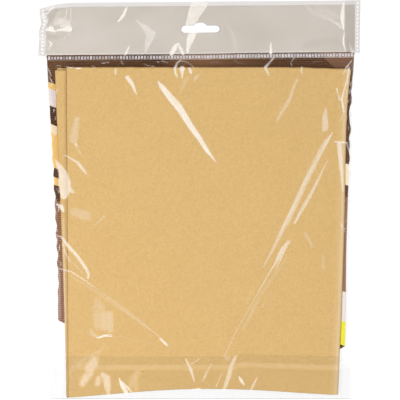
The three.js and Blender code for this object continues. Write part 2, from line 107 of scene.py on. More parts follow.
BODY_STREAKS = [
    # Short streak, upper left
    (0.85, 0.35, [(-60.8, 102.3, 1.5), (-56.5, 96.5, 1.42), (-53.2, 87.5, 0.25)]),
    # Long streak from the seam to the middle
    (0.92, 0.4, [
        (-35.6, 99.2, 0.2), (-32.3, 94.6, 1.9), (-24.4, 84.6, 2.7), (-18.5, 77.9, 2.9), (-14.2, 71.2, 2.6),
        (-7.9, 61.2, 2.3), (-0.8, 51.2, 1.95), (5.4, 41.2, 1.55), (10.4, 34.8, 0.6), (12.9, 31.7, 0.15),
    ]),
    # Ticks under the seam
    (0.6, 0.35, [(-70.7, 109.6, 0.5), (-70.7, 105.4, 0.67)]),
    (0.75, 0.4, [
        (-16.5, 116.7, 0.35), (-19.5, 114.3, 0.75), (-21.2, 109.5, 1.1), (-20.7, 105.3, 0.8),
        (-18.8, 101.8, 0.2),
    ]),
    (0.85, 0.4, [(-15.2, 109.2, 2.2), (-15.2, 106.2, 1.1), (-15.2, 101.2, 0.2)]),
    (0.85, 0.4, [(-9.2, 109.5, 0.8), (-8, 106.4, 1.1), (-7.2, 105.2, 0.3)]),
    (0.45, 0.4, [(-15.9, 116.1, 0.25), (-12.3, 115.5, 0.3), (-8.2, 113.1, 0.3), (-5.7, 110.1, 0.25)]),
    (0.26, 0.9, [(-1.2, 104.2, 0.5), (-4, 101.6, 1.3), (-5.6, 98.8, 0.4)]),
    (0.13, 1.6, [(-8.8, 103.2, 0.5), (-13.4, 98.6, 1.7), (-16.2, 89.6, 0.6)]),
    (0.6, 0.35, [(60.7, 117.2, 0.67), (53.8, 109.2, 1.08), (57, 102.9, 0.42)]),
    (0.3, 0.35, [(78.2, 117.2, 0.42), (75.1, 113.5, 0.5), (76.1, 110.3, 0.33)]),
    (0.45, 0.35, [(84.1, 109.2, 0.58), (84.1, 104.6, 0.58)]),
    # Streak, upper right
    (0.27, 1.1, [
        (80.9, 99.7, 0.5), (76.9, 91.8, 1.1), (75, 85.2, 1.3), (71.8, 79.2, 1.5), (68, 73.5, 1.4),
        (65.5, 69, 1), (62.5, 63.5, 0.1),
    ]),
    # Blade beside it
    (0.42, 0.5, [(104.3, 76.3, 0.42), (103.4, 67.5, 2.29), (103.8, 60, 2.5), (102.1, 57.5, 0.83)]),
    # Soft patches, upper left
    (0.22, 2, [(-102.6, 67.6, 1.9), (-105.6, 50.8, 3.3)]),
    (0.6, 0.5, [(-103.8, 46.7, 1.08), (-102.6, 44.2, 0.5)]),
    (0.22, 0.6, [(-102.2, 42.3, 0.58), (-99.1, 38.1, 0.58)]),
    # Left edge
    (0.6, 0.4, [(-112.9, 37.5, 0.33), (-102.2, 31.2, 0.92), (-99.1, 27.4, 1.25), (-94.8, 21.6, 0.42)]),
    (0.6, 0.6, [
        (-120.8, 33.3, 0.4), (-117.2, 27.5, 2.2), (-114.4, 22, 3.6), (-112.9, 13.7, 5.1),
        (-112.9, 7.5, 4.2), (-113.4, 3.5, 2.8),
    ]),
    (0.45, 0.8, [(-110, 11, 1.8), (-106.6, 7, 1.5), (-104.9, 6.4, 0.5)]),
    (0.8, 0.35, [(-119.8, -3.2, 0.42), (-115.8, -5.4, 1.67), (-114.1, -8.8, 1)]),
    (0.16, 2.5, [(-104.6, -10, 3.33), (-94.6, -13.3, 3.75)]),
    (0.16, 1.2, [(-88.4, -21.2, 0.62), (-79.9, -13.8, 0.83)]),
    # Loop on the left
    (0.64, 0.4, [
        (-117.1, -30, 0.42), (-114.4, -32, 0.9), (-111.8, -35.8, 1.1), (-109.1, -39.4, 1.3),
        (-102.7, -46.1, 1.1), (-97.4, -53.6, 1.2), (-94.9, -57.5, 1.1), (-92.9, -62.1, 0.9),
        (-93.7, -65.5, 0.4),
    ]),
    (0.5, 0.35, [(-115, -35.8, 0.33), (-112.1, -44.2, 0.5), (-108.6, -51, 0.38)]),
    (0.25, 0.35, [(-107.1, -50.8, 0.33), (-97.1, -61.7, 0.33)]),
    # Long double crease, lower left
    (0.42, 0.35, [(-117.1, -57.2, 0.58), (-107.6, -59.5, 0.58), (-95, -67.6, 0.5), (-88, -73.2, 0.3)]),
    (0.17, 0.6, [(-92, -70, 0.2), (-77.5, -80.3, 0.5), (-60.1, -92.9, 0.7), (-32.1, -115.6, 0.6)]),
    (0.15, 0.5, [(-107.6, -63.8, 0.42), (-93.8, -71.7, 0.5), (-60.8, -94.3, 0.58), (-42.1, -108.3, 0.33)]),
    (0.95, 0.3, [(-33.8, -115, 0.42), (-29.6, -119, 0.92), (-27.2, -121.3, 0.33)]),
    # Patch under it
    (0.1, 2.4, [(-86.6, -80.6, 0.4), (-85.4, -86, 3.2), (-84.4, -92, 5.2), (-84, -98, 5)]),
    (0.16, 2.2, [(-84.6, -88.7, 1.6), (-80.9, -89, 1.6)]),
    (0.15, 2.4, [(-84.8, -96.5, 2.8), (-86, -104.5, 2.8)]),
    (0.19, 2.4, [(-80.4, -95.6, 3.2), (-80.4, -105, 3.4)]),
    (0.21, 1.3, [(-75.4, -95, 2.6), (-75, -107.8, 2.4)]),
    (0.2, 1.6, [(-91, -108.4, 1), (-89.4, -111.8, 1.6), (-86.2, -113.4, 0.6)]),
    (0.9, 0.3, [(-86.3, -114.6, 0.25), (-83.4, -114.1, 0.6), (-80.6, -113, 0.8), (-73.5, -113.3, 0.2)]),
    (0.6, 0.3, [(-80.4, -112, 0.25), (-73.6, -112, 0.2)]),
    (0.08, 0.4, [(-72.9, -112.5, 0.38), (-53.8, -116.7, 0.38), (-34.2, -121.2, 0.33)]),
    # Soft folds above the flap
    (0.12, 2.6, [(-108, -142, 1), (-97, -133, 1.6), (-87, -126.7, 1)]),
    (0.1, 2.2, [(-78.8, -118.3, 0.4), (-85.4, -127.5, 1.4)]),
    # Double crease on the right
    (0.34, 1, [
        (107.2, 53, 0.5), (104.6, 49, 1.5), (99.8, 40.7, 2), (96.2, 33, 2.1), (88.4, 17.1, 2.2),
        (81.2, 1.3, 2.1), (77.1, -7.4, 2.1), (72.8, -17, 1.9), (67.7, -25.7, 1.6), (64.2, -33.1, 1.3),
        (57.5, -46.3, 0.8), (52.1, -55.8, 0.2),
    ]),
    (0.56, 0.7, [
        (95.4, 32.6, 0.3), (87.6, 16.5, 0.9), (80.1, 0.4, 1.1), (75.7, -8.5, 1.2), (69.8, -20.4, 1),
        (65, -30.2, 0.7),
    ]),
    (0.58, 0.45, [
        (110.2, 56.9, 0.1), (106.7, 50.8, 1), (104.2, 46.3, 0.95), (100.4, 38.8, 0.65), (92.9, 25, 0.55),
        (84.2, 9.2, 0.4), (80.9, 2.9, 0.2),
    ]),
    (0.45, 0.7, [
        (106.3, 33.3, 0.15), (102.6, 26.7, 0.45), (98.5, 18.2, 0.85), (94.4, 9.9, 1.2), (90.4, 2.3, 1.45),
        (85.7, -6, 1.4), (81.3, -13.4, 1.1), (78.3, -19.2, 0.75),
    ]),
    # Its lower half
    (0.4, 0.5, [(75.4, -32.9, 0.15), (72.5, -37.1, 0.9)]),
    (0.5, 0.6, [
        (73.2, -33.5, 0.3), (71, -37.5, 1.4), (68.4, -42, 2.3), (66.3, -45.8, 2.2), (63.2, -51.2, 1),
    ]),
    (0.42, 0.4, [(63, -51.2, 0.8), (57.9, -59.6, 0.55), (53.8, -66.7, 0.4), (47.9, -77.1, 0.3)]),
    (0.2, 0.5, [(47.9, -77.1, 0.4), (35.4, -99.2, 0.4), (28.8, -110.8, 0.45), (20, -130, 0.5)]),
    (0.25, 0.6, [(20, -130, 0.5), (22.1, -132.5, 0.8), (23.8, -133.3, 0.3)]),
    (0.45, 0.4, [(67.9, -47.5, 0.6), (65, -52.5, 0.45), (62.1, -58.8, 0.15)]),
    (0.1, 1.2, [(72.1, -47.5, 0.5), (62.9, -60.8, 1), (50, -79, 1.2), (36, -107, 1.3)]),
    (0.25, 0.4, [(52.9, -86.7, 0.4), (51.3, -89.2, 0.4)]),
    (0.1, 0.9, [(42.5, -74.2, 0.5), (37.9, -85.8, 0.6)]),
    # Right edge
    (0.8, 0.4, [(111.8, 48.4, 0.5), (115, 48.2, 0.7), (118.3, 48, 0.6), (122.1, 47.5, 0.3)]),
    (0.62, 0.45, [
        (115.4, 46.6, 1.9), (115.9, 40, 1.8), (116.8, 29.2, 1.4), (117.6, 19, 1), (118.4, 7, 0.3),
    ]),
    (0.6, 0.35, [(121.3, 47.5, 0.3), (123.4, 40.5, 0.3)]),
    (0.8, 0.3, [(126.2, 115, 0.35), (120.9, 108.7, 0.4), (118.8, 103.4, 0.2)]),
    (1, 0.3, [
        (123.9, 108.4, 0.3), (121.9, 98.5, 0.35), (118.9, 88.5, 0.35), (117.5, 83.6, 0.75),
        (119, 75, 0.65), (119.6, 73, 0.3),
    ]),
    (0.6, 0.35, [(113.4, 91.5, 0.7), (114.1, 88, 0.25), (115.6, 82.8, 0.7)]),
    (0.25, 0.35, [(119.8, 73.3, 0.33), (116.2, 65.8, 0.42)]),
    (0.16, 1.2, [(86.8, -27.5, 1.04), (92.9, -38.3, 1.25)]),
    (0.14, 1.2, [(101.6, -46.7, 0.83), (102.7, -57.5, 1)]),
    (0.6, 0.35, [(117.1, -20, 0.58), (118.2, -22.5, 0.58)]),
    # Painted highlight along the card's left side and the open edges of the cloth
    (0.22, 2, [(-118.4, -56, 0.2), (-117.9, -62, 0.9), (-117.6, -80, 0.8), (-117, -98, 0.6)]),
    (0.2, 1, [(-114, -15, 0.4), (-113.5, -50, 0.8), (-112.8, -83, 0.8), (-111.9, -150, 0.5)]),
]
FLAP_STREAKS = [
    # Line where the sticky strip ends
    (0.065, 1.4, [(-100, -138.9, 1.5), (113, -139.1, 1.5)]),
    # Broad streaks, left
    (0.3, 2.8, [(-87.4, -131, 1.6), (-89, -135.6, 3.8), (-92, -140, 3.6)]),
    (0.3, 2.2, [(-90.4, -144, 1.6), (-94.8, -147, 2.8), (-98, -152.8, 2)]),
    (0.3, 1.8, [(-84.6, -148, 1.5), (-85.4, -152.5, 1.9)]),
    (0.36, 1.6, [(-81.2, -145, 1.8), (-77.9, -148.3, 2.8), (-77.3, -154.2, 2.6), (-76.3, -160.8, 1)]),
    (0.9, 0.35, [(-67.5, -147.9, 0.2), (-65.6, -153.3, 1.3), (-61.9, -159.4, 1.6)]),
    (0.85, 0.35, [(-65.4, -151, 0.5), (-60.8, -155.8, 0.8), (-57.1, -159.6, 0.3)]),
    (0.12, 2.4, [(-52, -143, 1.6), (-55.6, -149, 2.4), (-58, -155, 1)]),
    (0.1, 2, [(-55, -150, 1.6), (-53.4, -157, 1.4)]),
    # Middle
    (0.5, 0.4, [(-12.4, -131.8, 0.42), (-7.9, -141.3, 1.33), (-5, -150.8, 0.33)]),
    (0.3, 0.35, [(-7.7, -136.1, 0.42), (-0.4, -131.8, 0.42)]),
    (0.6, 0.35, [(-6.6, -157.5, 0.58), (-0.4, -156.8, 0.67)]),
    (0.2, 0.8, [(9.2, -136.1, 0.6), (5, -143.8, 0.9), (2.1, -150, 0.6)]),
    (0.45, 0.6, [(4.8, -143.5, 0.4), (3.4, -147.5, 0.5)]),
    # Right
    (0.25, 0.5, [(31.5, -126.5, 0.7), (28.6, -131.5, 1.5)]),
    (0.4, 0.9, [(28.2, -132.5, 1.3), (25.2, -139.2, 1.7), (23.5, -146.7, 1.8), (19.5, -157.5, 1.1)]),
    (0.28, 0.4, [(19.6, -126.7, 1.08), (24.6, -131.7, 0.42)]),
    (1, 0.3, [(31.9, -148.3, 0.3), (34, -151.3, 1.1), (36.3, -154, 0.35)]),
    (0.32, 0.7, [(47.2, -149, 0.4), (43.8, -154.2, 1.1), (41.7, -158, 0.7)]),
    (0.2, 0.5, [(17.9, -144.2, 0.5), (12.9, -155, 0.58)]),
]
HEADER_STREAKS = [
    # Crumpled corner
    (0.8, 0.6, [(-119.6, 142.9, 0.7), (-114.6, 143.4, 1.2), (-109.2, 143.8, 2.2)]),
    (0.75, 0.6, [(-132, 143.4, 0.3), (-128.8, 144.4, 1.1), (-125.1, 144.8, 2.2), (-121.2, 142.2, 0.5)]),
    (0.3, 2.5, [(-121.2, 150.2, 2.3), (-115.9, 150.3, 3), (-111, 148.4, 2.3)]),
    (0.46, 1.8, [(-116.6, 146.6, 1), (-113.4, 146.6, 1.9), (-110.2, 145.8, 2)]),
    (0.55, 0.4, [(-128.5, 158.5, 0.5), (-125.4, 162, 0.6), (-121.7, 163.6, 0.4)]),
    (0.4, 0.35, [(-108.3, 160.7, 0.3), (-108.3, 141.5, 0.35)]),
    (0.45, 0.4, [(-111, 160.8, 0.3), (-112.2, 155.9, 0.4), (-114.6, 151.9, 0.25)]),
    (0.22, 0.6, [(-108.7, 141.1, 0.4), (-113.7, 135.8, 0.3)]),
    (0.6, 0.5, [(-126, 133.8, 0.4), (-124.3, 131.5, 0.9), (-126.6, 127.2, 0.25)]),
    (-0.3, 1, [(-121.5, 160.3, 2.6), (-125.3, 154.4, 2.2), (-128.2, 149.6, 0.8)]),
    (-0.22, 2, [(-126.5, 138, 1.6), (-118.7, 136.8, 1.2)]),
    # Streaks, left of the slot
    (0.72, 0.35, [(-61.8, 160.7, 0.75), (-64, 155, 1.33), (-68.3, 149.5, 0.67)]),
    (0.6, 0.35, [(-59.1, 129, 0.42), (-61.2, 125.4, 0.83), (-62.9, 121.8, 0.75)]),
    (0.26, 1.4, [
        (-53.3, 150.3, 0.42), (-45.4, 143.3, 2.5), (-41.2, 138.3, 3.75), (-44.2, 130.8, 2.5),
        (-45.8, 124.2, 0.67),
    ]),
    (0.4, 0.4, [(-38.3, 140.3, 0.67), (-40.8, 135, 0.83)]),
    # Band by the slot
    (0.57, 0.4, [(-0.8, 164, 6.67), (-4.6, 156.7, 5.42), (-8.6, 146.2, 3.75)]),
    (0.74, 0.35, [(-6.2, 140.4, 3.33), (-8.8, 133.3, 2.67), (-11.1, 122.9, 0.67)]),
    (0.8, 0.35, [(-19.2, 130.5, 0.67), (-21.7, 126.7, 1.92), (-24.1, 122.2, 1.67)]),
    (0.7, 0.35, [(-18.4, 130.7, 0.5), (-16.7, 126.7, 1.08), (-14.4, 122.3, 1.33)]),
    # Streaks, right of the slot
    (0.08, 2, [(21.9, 146.7, 0.83), (28.3, 134.8, 2.08), (29.3, 123.1, 1.25)]),
    (0.84, 0.3, [(58.6, 129.7, 0.33), (58.6, 121.8, 1.25)]),
    (-0.1, 2.5, [(112, 131.5, 3), (100, 130.5, 3.5), (88, 128, 2.5)]),
    # Right corner
    (0.1, 2.5, [(97.9, 158.8, 2.5), (106.5, 155.2, 2.6), (113, 151.5, 2.2)]),
    (0.13, 2, [(88, 161.2, 0.8), (93.8, 156, 1.6), (102.1, 152.2, 1.6), (110.4, 148.5, 1.4)]),
    (0.4, 0.9, [(109, 148.8, 0.5), (114.5, 145.6, 1), (119.4, 140.8, 0.4)]),
    (0.8, 0.4, [
        (119.6, 163, 0.6), (118.7, 157.6, 1.3), (118.3, 151.8, 1.8), (118.6, 146.8, 1.5),
        (119.9, 140.3, 0.2),
    ]),
    (0.75, 0.4, [(120, 138.4, 0.2), (119.3, 134.3, 0.7), (119.3, 129.3, 0.8), (121.1, 123, 0.5)]),
    (0.6, 0.4, [(124.5, 128.8, 0.2), (125.4, 125.1, 0.8), (126.2, 122.4, 1.5)]),
    (-0.33, 0.7, [(125, 165, 4.5), (125, 130, 4.5), (124, 123, 3)]),
    # Pale rim along the bottom
    (0.22, 0.4, [(-128.5, 122.6, 0.35), (0, 122.6, 0.35), (128.5, 122.6, 0.35)]),
    # Dull band along the top
    (-0.08, 1, [(-112, 163.9, 1.2), (0, 163.9, 1.2), (129, 163.9, 1.2)]),
]
CREASE_RISE = 0.2  # height of the brightest crease, for each millimetre of half width
THIN_CREASE = 0.3  # added to each half width, so that thin creases stand up too
WIDEST_CREASE = 1.5  # half width beyond which a crease stands no higher
CREASE_FOOT = 2.4  # how far its flanks run out beside it
NEAR_CREASE = 1.8  # how far beside a crease the film's grid is finer
NEAR_BORDER = 0.9  # and finer again
FAR = 99.0  # farther than any of these


# Small helpers


def smooth(low, high, value):
    share = np.clip((value - low) / (high - low), 0, 1)
    return share * share * (3 - 2 * share)


def ripple(x, y, size, seed):
    """Smooth noise from -1 to 1, with bumps of about this size in millimetres."""
    return np.array([noise.noise((a / size, b / size, seed)) for a, b in zip(x, y)])


def coordinates(bm):
    return np.array([vertex.co for vertex in bm.verts]).T


def unit_grid(columns, rows):
    """A flat grid, and how far across and up it each point lies, from 0 to 1."""
    bm = bmesh.new()
    bmesh.ops.create_grid(bm, x_segments=columns, y_segments=rows, size=0.5)
    bmesh.ops.translate(bm, verts=bm.verts, vec=(0.5, 0.5, 0))
    across, up, _ = coordinates(bm)
    return bm, across, up


def place(bm, x, y, z):
    for vertex, spot in zip(bm.verts, np.column_stack((x, y, z))):
        vertex.co = spot


def make_piece(name, bm, materials, wall=0.0, **fields):
    """Turns a shape drawn in millimetres into a piece; a wall gives a sheet its thickness."""
    bmesh.ops.scale(bm, vec=(MM, MM, MM), verts=bm.verts)
    for face in bm.faces:
        face.smooth = True
    mesh = bpy.data.meshes.new(name)
    bm.to_mesh(mesh)
    bm.free()
    for field, values in fields.items():
        attribute = mesh.attributes.new(field, "FLOAT", "POINT")
        attribute.data.foreach_set("value", np.asarray(values, np.float32))
    for material in materials:
        mesh.materials.append(material)
    piece = bpy.data.objects.new(name, mesh)
    bpy.context.scene.collection.objects.link(piece)
    if wall:
        thickness = piece.modifiers.new("wall", "SOLIDIFY")
        thickness.thickness = wall * MM
        thickness.offset = 0
        piece.modifiers.new("flat to the edge", "WEIGHTED_NORMAL").weight = 100
    return piece


def stand_for(node, piece, body):
    """Puts a piece in the place of the part's own node, on the same body."""
    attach(piece, body)
    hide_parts(node)


def let_light_through(piece):
    """Clear film takes next to no light from what lies under it."""
    piece.visible_shadow = False
    piece.visible_diffuse = False
    return piece


# Film: creases, and a finer grid along them


def each_crease(x, y, streaks):
    for strength, edge, line in streaks:
        for (x0, y0, half0), (x1, y1, half1) in zip(line, line[1:]):
            run_x, run_y = x1 - x0, y1 - y0
            share = ((x - x0) * run_x + (y - y0) * run_y) / (run_x**2 + run_y**2)
            share = np.clip(share, 0, 1)
            off = np.hypot(x - x0 - share * run_x, y - y0 - share * run_y)
            yield strength, edge, off, half0 + (half1 - half0) * share


def gleam_and_rise(x, y, streaks):
    """How far the film is painted white as a highlight at each point, or darker below 0 as painted shade, and
    how high its creases stand.
    """
    gleam = np.zeros_like(x)
    dull = np.zeros_like(x)
    rise = np.zeros_like(x)
    for strength, edge, off, half in each_crease(x, y, streaks):
        cover = strength * np.clip(0.5 + (half - off) / edge, 0, 1)
        gleam = np.maximum(gleam, cover)
        dull = np.minimum(dull, cover)
        ridge = np.clip(1 - (off / (half + CREASE_FOOT)) ** 2, 0, 1) ** 2
        height = CREASE_RISE * strength * (THIN_CREASE + np.minimum(half, WIDEST_CREASE))
        rise = np.maximum(rise, height * ridge)
    return gleam + dull, rise


def distance_to_creases(x, y, streaks):
    """Millimetres from each point to the border of the nearest crease, negative inside it."""
    nearest = np.full_like(x, FAR)
    for _, _, off, half in each_crease(x, y, streaks):
        nearest = np.minimum(nearest, off - half)
    return nearest


def split_faces(bm, chosen):
    edges = {edge for face, pick in zip(bm.faces, chosen) if pick for edge in face.edges}
    bmesh.ops.subdivide_edges(bm, edges=list(edges), cuts=1, use_grid_fill=True)


def face_middles(bm):
    return np.array([face.calc_center_median() for face in bm.faces]).T


def refine_along(bm, streaks):
    """Splits the faces of a flat sheet along its creases, and again along their borders."""
    x, y, _ = face_middles(bm)
    split_faces(bm, distance_to_creases(x, y, streaks) < NEAR_CREASE)
    x, y, _ = face_middles(bm)
    split_faces(bm, np.abs(distance_to_creases(x, y, streaks)) < NEAR_BORDER)


# Outlines

SKEW = 0.0085
SEAM_BEND = 0.5


def pouch_half(y):
    share = (y - POUCH_BOTTOM) / (POUCH_TOP - POUCH_BOTTOM)
    return POUCH_HALF_BOTTOM + (POUCH_HALF_TOP - POUCH_HALF_BOTTOM) * share


def film_edge(y):
    return pouch_half(y) - SIDE_SEAL - FILM_GAP


def askew(x, y):
    """The seam and the header lie a little askew on the pouch, and the seam bends up on the right."""
    bend = SEAM_BEND * smooth(0, 45, x) * smooth(160, 124, y)
    return y + (SKEW * x + bend) * smooth(60, 115, y)


def edge_wave(y, side):
    """The pouch's sides wander a little."""
    return 0.5 * np.sin(y / 21 + side) + 0.3 * np.sin(y / 8.5 + 2 * side)


# Materials


class Look:
    """A material being wired up, node by node."""

    def __init__(self, name):
        self.material = bpy.data.materials.new(name)
        self.material.use_nodes = True
        self.tree = self.material.node_tree
        self.tree.nodes.clear()
        self.place = self.node("ShaderNodeTexCoord").outputs["Object"]

    def node(self, kind, inputs=None, **settings):
        made = self.tree.nodes.new(kind)
        for key, value in settings.items():
            setattr(made, key, value)
        for key, value in (inputs or {}).items():
            if isinstance(value, bpy.types.NodeSocket):
                self.tree.links.new(value, made.inputs[key])
            else:
                made.inputs[key].default_value = value
        return made

    def math(self, operation, *values, **settings):
        inputs = dict(enumerate(values))
        return self.node("ShaderNodeMath", inputs, operation=operation, **settings).outputs[0]

    def noise(self, scale, detail=2.0, stretch=(1, 1, 1)):
        mapped = self.node("ShaderNodeMapping", {"Vector": self.place, "Scale": stretch})
        inputs = {"Vector": mapped.outputs[0], "Scale": scale, "Detail": detail}
        return self.node("ShaderNodeTexNoise", inputs).outputs["Fac"]

    def blend(self, share, first, second):
        inputs = {"Factor": share, 6: first, 7: second}
        return self.node("ShaderNodeMix", inputs, data_type="RGBA").outputs[2]

    def spread(self, value, low, high, start=0.0, end=1.0):
        inputs = {"Value": value, "From Min": low, "From Max": high, "To Min": start, "To Max": end}
        return self.node("ShaderNodeMapRange", inputs).outputs[0]

    def field(self, name):
        return self.node("ShaderNodeAttribute", attribute_name=name).outputs["Fac"]

    def bump(self, height, strength, depth):
        inputs = {"Height": height, "Strength": strength, "Distance": depth}
        return self.node("ShaderNodeBump", inputs).outputs[0]

    def mix(self, share, first, second):
        return self.node("ShaderNodeMixShader", {0: share, 1: first, 2: second}).outputs[0]

    def done(self, surface):
        self.node("ShaderNodeOutputMaterial", {"Surface": surface})
        return self.material


def rgb(red, green, blue):
    """A colour given in the 0 to 255 steps of a screen."""
    steps = [value / 255 for value in (red, green, blue)]
    linear = [((s + 0.055) / 1.055) ** 2.4 if s > 0.04045 else s / 12.92 for s in steps]
    return (*linear, 1)


def suede_look(name, pale, deep):
    """Napped leather: a fine pebbled grain, a brushed nap, soft patches, pale folds of worn nap and painted
    highlight, and painted shade at its cut edges.
    """
    look = Look(name)
    grain = look.noise(950, 2.0)
    nap = look.noise(330, 3.0, (1.0, 0.6, 1.0))
    mottle = look.noise(34, 3.0)
    tone = look.math("MULTIPLY_ADD", grain, 1.05, look.math("MULTIPLY", nap, 0.3))
    tone = look.math("MULTIPLY_ADD", mottle, 0.14, tone)
    colour = look.blend(look.spread(tone, 0.36, 1.13), deep, pale)
    # pale band along the side fold: partly worn nap, partly painted highlight
    worn = look.math("MULTIPLY", look.field("worn"), 0.45)
    colour = look.blend(worn, colour, rgb(248, 224, 184))
    # painted shade: the cut field darkens the cloth along its cut edges, where each leaf shades the one under
    # it
    colour = look.blend(look.field("cut"), colour, rgb(108, 64, 14))
    height = look.math("MULTIPLY_ADD", nap, 0.3, grain)
    surface = look.node("ShaderNodeBsdfPrincipled", {
        "Base Color": colour,
        "Roughness": 0.95,
        "Specular IOR Level": 0.12,
        "Sheen Weight": 0.15,
        "Sheen Roughness": 0.6,
        "Sheen Tint": (1.0, 0.86, 0.62, 1),
        "Normal": look.bump(height, 0.6, 0.0004),
    })
    return look.done(surface.outputs[0])


# colour of the painted highlight on the film's creases
HIGHLIGHT_WHITE = (1.0, 0.955, 0.89, 1)


def film_look(name, tint, gain):
    """Clear film that mirrors a little, and more aslant, with painted highlights along its creases: a white
    layer that stands in for the lamps' reflection.
    """
    look = Look(name)
    crinkle = look.math("MULTIPLY_ADD", look.noise(260, 3.0), 0.5, look.noise(70, 2.0))
    normal = look.bump(crinkle, 0.2, 0.0006)
    facing = look.node("ShaderNodeLayerWeight", {"Blend": 0.5, "Normal": normal}).outputs["Facing"]
    mirror = look.math("MULTIPLY_ADD", look.math("POWER", facing, 5.0), 0.5, 0.004)
    patchy = look.spread(look.noise(120, 2.0), 0.3, 0.7, 0.88 * gain, 1.1 * gain)
    gleam = look.math("MULTIPLY", look.field("gleam"), patchy, use_clamp=True)
    # below 0 the gleam field darkens the film's tint: painted shade on the header's dull facets, and the
    # flap's own tint
    dull = look.math("MULTIPLY", look.field("gleam"), -1.0, use_clamp=True)
    shaded = look.blend(dull, tint, (*[0.8 * part for part in tint[:3]], 1))
    clear = look.node("ShaderNodeBsdfTransparent", {"Color": shaded})
    # painted highlight: a white layer, matte and satin, over the creases stands in for the lamps' reflection
    # in them
    matte = look.node("ShaderNodeBsdfDiffuse", {"Color": HIGHLIGHT_WHITE})
    satin = look.node("ShaderNodeBsdfGlossy", {"Color": HIGHLIGHT_WHITE, "Roughness": 0.55})
    milky = look.mix(0.13, matte.outputs[0], satin.outputs[0])
    gloss = look.node("ShaderNodeBsdfGlossy", {"Roughness": 0.16, "Normal": normal})
    body = look.mix(gleam, clear.outputs[0], milky)
    return look.done(look.mix(mirror, body, gloss.outputs[0]))


def weld_look(name, cover, colour):
    """Film fused into a milky strip, clear where it is pressed thin."""
    look = Look(name)
    mottle = look.noise(140, 2.0)
    shade = look.blend(look.spread(mottle, 0.3, 0.7, 0.0, 0.1), colour, (0.9, 0.89, 0.88, 1))
    clear = look.node("ShaderNodeBsdfTransparent", {"Color": (0.997, 0.997, 0.997, 1)})
    milky = look.node("ShaderNodeBsdfPrincipled", {
        "Base Color": shade,
        "Roughness": 0.35,
        "Normal": look.bump(mottle, 0.08, 0.0003),
    })
    share = look.spread(mottle, 0.25, 0.75, 0.92 * cover, 1.08 * cover)
    thick = look.math("SUBTRACT", 1.0, look.field("pressed"))
    share = look.math("MULTIPLY", share, thick)
    return look.done(look.mix(share, clear.outputs[0], milky.outputs[0]))


def strip_look():
    look = Look("grey strip")
    mottle = look.noise(17, 2.0, (1.0, 1.6, 1.0))
    fine = look.noise(900, 2.0)
    tone = look.math("MULTIPLY_ADD", fine, 0.15, look.math("MULTIPLY", mottle, 0.85))
    colour = look.blend(look.spread(tone, 0.32, 0.68), rgb(213, 205, 194), rgb(227, 219, 210))
    # painted shadow along the slot's edge, from the cut field
    colour = look.blend(look.field("cut"), colour, rgb(70, 60, 54))
    surface = look.node("ShaderNodeBsdfPrincipled", {
        "Base Color": colour,
        "Roughness": 0.42,
        "Normal": look.bump(fine, 0.15, 0.0002),
    })
    return look.done(surface.outputs[0])


def adhesive_look():
    look = Look("adhesive")
    specks = look.noise(700, 3.0)
    clear = look.node("ShaderNodeBsdfTransparent", {"Color": (0.992, 0.99, 0.985, 1)})
    sticky = look.node("ShaderNodeBsdfPrincipled", {
        "Base Color": rgb(206, 178, 124),
        "Roughness": 0.5,
        "Normal": look.bump(specks, 0.4, 0.0003),
    })
    share = look.spread(specks, 0.35, 0.75, 0.0, 0.05)
    return look.done(look.mix(share, clear.outputs[0], sticky.outputs[0]))


BROWN = rgb(50, 30, 16)
WARM_BROWN = rgb(84, 56, 40)
DARK_BROWN = rgb(62, 38, 27)
PALE_BROWN = rgb(184, 138, 112)
MID_BROWN = rgb(142, 102, 72)
CREAM = rgb(255, 236, 200)
CHALK = rgb(241, 230, 226)
AMBER = rgb(252, 206, 124)
LEMON = rgb(244, 238, 62)
LEFT_BANDS = [
    # lower end of each band, in millimetres along the card, and its colour
    (-140, PALE_BROWN), (2, WARM_BROWN), (14, AMBER), (20, DARK_BROWN), (28, AMBER), (56, CREAM),
    (63, DARK_BROWN), (78, CHALK), (92, AMBER), (98, WARM_BROWN),
]
RIGHT_BANDS = [
    (-140, DARK_BROWN), (-122, LEMON), (-102, CHALK), (-77, PALE_BROWN), (3, WARM_BROWN), (12, CREAM),
    (29.5, WARM_BROWN),
]
BAND_RANGE = (-150, 130)  # ends of the ramp of colours
BAND_SLANT = 0.35
BAND_SHIFT = 43  # what the slant comes to at the card's sides
PANEL_HALF = 75  # half width of the brown panel between the bands, at the card's middle
PANEL_FLARE = 0.12
RULE = 1.5  # cream line along the panel
PLAIN_TOP = 100.0  # the card is plain above this
PLAIN_FADE = 3


